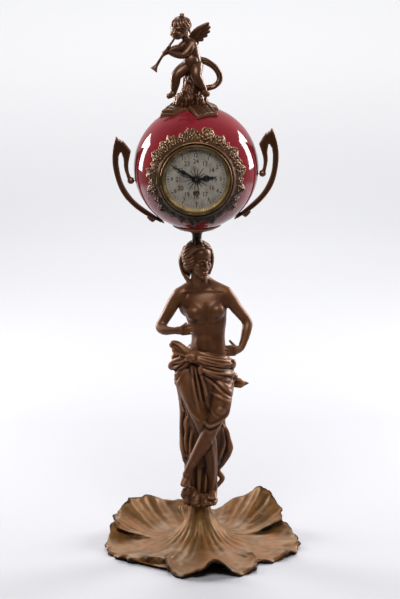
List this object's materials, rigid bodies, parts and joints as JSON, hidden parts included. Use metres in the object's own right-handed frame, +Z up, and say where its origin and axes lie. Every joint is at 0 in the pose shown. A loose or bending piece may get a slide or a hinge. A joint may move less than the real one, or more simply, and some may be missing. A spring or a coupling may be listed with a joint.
{
  "type": "figural clock",
  "caption": "Standing draped figure on a flower-shaped base carrying a globe clock with a hinged glazed bezel, wreath, side handles and a horn-blowing child on top.",
  "frame": {"origin": "on the table plane, under the middle of the overall box", "axes": "+Z up, -Y towards the reader of the dial, +X to the reader's right"},
  "size_m": [0.2492, 0.245, 0.7064],
  "materials": {
    "golden_patina": "satin golden-brown patina",
    "brown_patina": "satin red-brown patina",
    "red_glaze": "gloss",
    "gilt_bronze": "worn gilt",
    "brass": "polished",
    "steel": "bright",
    "clear_glass": "clear",
    "silvered_dial": "silvered matt",
    "blued_steel": "blued"
  },
  "bodies": {
    "clock_body": {"base_flower": "golden_patina", "rock_plinth": "brown_patina", "figure_drapery": "brown_patina", "figure_torso": "brown_patina", "figure_head": "brown_patina", "figure_right_arm": "brown_patina", "figure_left_arm": "brown_patina", "globe_cup": "brown_patina", "handle_right": "brown_patina", "handle_left": "brown_patina", "finial_mount": "brown_patina", "cherub": "brown_patina", "cherub_horn": "brown_patina", "cherub_sash": "brown_patina", "cherub_wing_right": "brown_patina", "cherub_wing_left": "brown_patina", "globe_shell": "red_glaze", "wreath_surround": "gilt_bronze", "case_ring": "brass", "front_plate": "brass", "back_plate": "brass", "rear_cover": "brass", "base_bolt": "steel", "base_washer": "steel", "globe_stud": "steel", "globe_washer": "steel", "globe_nut": "steel", "handle_screw_right_upper": "steel", "handle_screw_right_lower": "steel", "handle_screw_left_upper": "steel", "handle_screw_left_lower": "steel", "finial_bolt": "steel", "finial_washer": "steel", "bezel_hinge_pin": "steel", "hairspring": "steel", "clamp_screw_left": "steel", "clamp_screw_right": "steel", "dial_plate": "silvered_dial"},
    "bezel": {"bezel_ring": "brass", "bezel_glass": "clear_glass", "sight_ring": "brass"},
    "minute_hand": {"minute_hand": "blued_steel", "cannon_pinion": "brass", "hand_nut": "brass"},
    "hour_hand": {"hour_hand": "blued_steel", "hour_wheel": "brass"},
    "minute_wheel": {"minute_wheel": "brass"},
    "winding_arbor": {"winding_arbor": "steel", "ratchet_wheel": "steel"},
    "click": {"click": "steel"},
    "barrel": {"spring_barrel": "brass", "great_wheel": "brass", "mainspring": "steel"},
    "centre_wheel": {"centre_wheel": "brass"},
    "third_wheel": {"third_wheel": "brass"},
    "fourth_wheel": {"fourth_wheel": "brass"},
    "escape_wheel": {"escape_wheel": "brass"},
    "pallet_lever": {"pallet_lever": "steel"},
    "balance_wheel": {"balance_wheel": "brass"}
  },
  "joints": [
    {"name": "bezel_hinge", "type": "hinge", "parent": "clock_body", "child": "bezel", "pos_m": [-0.05088, -0.06446, 0.5045], "axis": [0, 0, -1], "range_deg": [0, 110]},
    {"name": "minute_hand_turn", "type": "hinge", "parent": "clock_body", "child": "minute_hand", "pos_m": [-0.00288, -0.05919, 0.5045], "axis": [0, 1, 0], "continuous": true},
    {"name": "hour_hand_turn", "type": "hinge", "parent": "clock_body", "child": "hour_hand", "pos_m": [-0.00288, -0.05719, 0.5045], "axis": [0, 1, 0], "continuous": true},
    {"name": "minute_wheel_turn", "type": "hinge", "parent": "clock_body", "child": "minute_wheel", "pos_m": [0.00615, -0.04619, 0.50778], "axis": [0, 1, 0], "continuous": true},
    {"name": "winding_turn", "type": "hinge", "parent": "clock_body", "child": "winding_arbor", "pos_m": [-0.00288, -0.04319, 0.4865], "axis": [0, 1, 0], "continuous": true},
    {"name": "click_lift", "type": "hinge", "parent": "clock_body", "child": "click", "pos_m": [-0.0143, -0.03819, 0.49183], "axis": [0, -1, 0], "range_deg": [0, 12], "stiffness_Nm_per_rad": 0.002},
    {"name": "fourth_wheel_turn", "type": "hinge", "parent": "clock_body", "child": "fourth_wheel", "pos_m": [-0.003, -0.03319, 0.52064], "axis": [0, 1, 0], "continuous": true},
    {"name": "escape_wheel_turn", "type": "hinge", "parent": "clock_body", "child": "escape_wheel", "pos_m": [0.00592, -0.03319, 0.51739], "axis": [0, 1, 0], "continuous": true},
    {"name": "third_wheel_turn", "type": "hinge", "parent": "clock_body", "child": "third_wheel", "pos_m": [-0.01242, -0.03319, 0.51405], "axis": [0, 1, 0], "continuous": true},
    {"name": "centre_wheel_turn", "type": "hinge", "parent": "clock_body", "child": "centre_wheel", "pos_m": [-0.00288, -0.03319, 0.5045], "axis": [0, 1, 0], "continuous": true},
    {"name": "barrel_turn", "type": "hinge", "parent": "clock_body", "child": "barrel", "pos_m": [-0.00288, -0.03319, 0.4865], "axis": [0, 1, 0], "continuous": true},
    {"name": "pallet_rock", "type": "hinge", "parent": "clock_body", "child": "pallet_lever", "pos_m": [0.01067, -0.03319, 0.51046], "axis": [0, 1, 0], "range_deg": [-5, 5]},
    {"name": "balance_swing", "type": "hinge", "parent": "clock_body", "child": "balance_wheel", "pos_m": [0.01612, -0.03319, 0.5025], "axis": [0, 1, 0], "range_deg": [-150, 150], "stiffness_Nm_per_rad": 0.000002}
  ],
  "couplings": [
    {"joint": "hour_hand_turn", "follows": "minute_hand_turn", "ratio": 0.083333},
    {"joint": "minute_wheel_turn", "follows": "minute_hand_turn", "ratio": -0.33333},
    {"joint": "escape_wheel_turn", "follows": "fourth_wheel_turn", "ratio": -6.6667},
    {"joint": "third_wheel_turn", "follows": "fourth_wheel_turn", "ratio": -0.16667},
    {"joint": "centre_wheel_turn", "follows": "fourth_wheel_turn", "ratio": 0.027778},
    {"joint": "barrel_turn", "follows": "fourth_wheel_turn", "ratio": -0.0046296}
  ]
}
